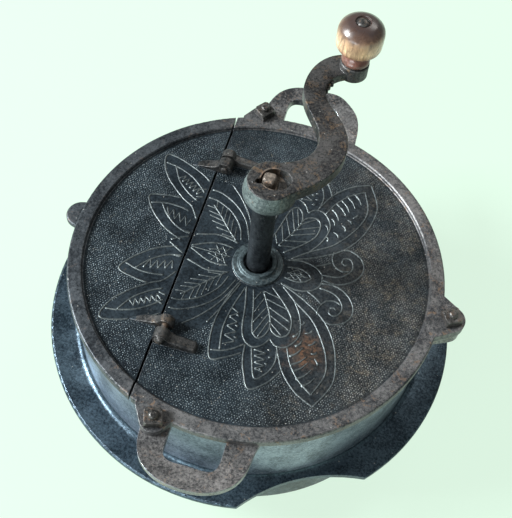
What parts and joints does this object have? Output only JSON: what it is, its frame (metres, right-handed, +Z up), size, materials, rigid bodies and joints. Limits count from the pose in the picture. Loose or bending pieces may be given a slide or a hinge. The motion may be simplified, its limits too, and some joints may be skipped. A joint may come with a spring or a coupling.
{
  "type": "coffee roaster",
  "caption": "Round cast-iron stove-top coffee roaster with a stove flange, loop handles, a bolted lid with a hinged filling flap and a hand crank that turns a stirrer.",
  "frame": {"origin": "centre of the pan's flat underside", "axes": "+Z up along the spindle, +Y from the front loop handle to the back one, filling flap on the -X side"},
  "size_m": [0.31, 0.3463, 0.2695],
  "materials": {
    "pan_iron": "sooted blue-black cast iron with a dull sheen and brown handles",
    "lid_iron": "blackened, stippled cast iron with a rubbed rusty band",
    "crank_iron": "pitted brown-black iron",
    "fastener_iron": "rusted wrought iron",
    "stirrer_iron": "oiled, coffee-browned iron",
    "knob_wood": "turned hardwood polished by use"
  },
  "bodies": {
    "pan_assembly": {"pan": "pan_iron", "lid_plate": "lid_iron", "hinge_pin_front": "fastener_iron", "hinge_pin_back": "fastener_iron", "lid_bolt_front": "fastener_iron", "lid_bolt_back": "fastener_iron", "lid_bolt_right": "fastener_iron", "lid_nut_front": "fastener_iron", "lid_nut_back": "fastener_iron", "lid_nut_right": "fastener_iron"},
    "flap": {"flap": "lid_iron"},
    "crank": {"spindle": "crank_iron", "crank_arm": "crank_iron", "wedge_key": "fastener_iron", "knob_washer": "fastener_iron", "knob_rivet": "fastener_iron", "thrust_washer": "fastener_iron", "cotter_pin": "fastener_iron", "stirrer_hub": "stirrer_iron", "stirrer_pin": "stirrer_iron", "stirrer_arm_left": "stirrer_iron", "stirrer_arm_right": "stirrer_iron", "stirrer_blade_left": "stirrer_iron", "stirrer_blade_right": "stirrer_iron", "stirrer_rivets_left": "stirrer_iron", "stirrer_rivets_right": "stirrer_iron"},
    "knob": {"knob": "knob_wood"}
  },
  "joints": [
    {"name": "flap_hinge", "type": "hinge", "parent": "pan_assembly", "child": "flap", "pos_m": [-0.046, 0, 0.133], "axis": [0, 1, 0], "range_deg": [0, 60]},
    {"name": "crank_spin", "type": "hinge", "parent": "pan_assembly", "child": "crank", "pos_m": [0, 0, 0], "axis": [0, 0, 1], "continuous": true},
    {"name": "knob_spin", "type": "hinge", "parent": "crank", "child": "knob", "pos_m": [0.0304, 0.1125, 0.25], "axis": [0, 0, 1], "continuous": true}
  ]
}
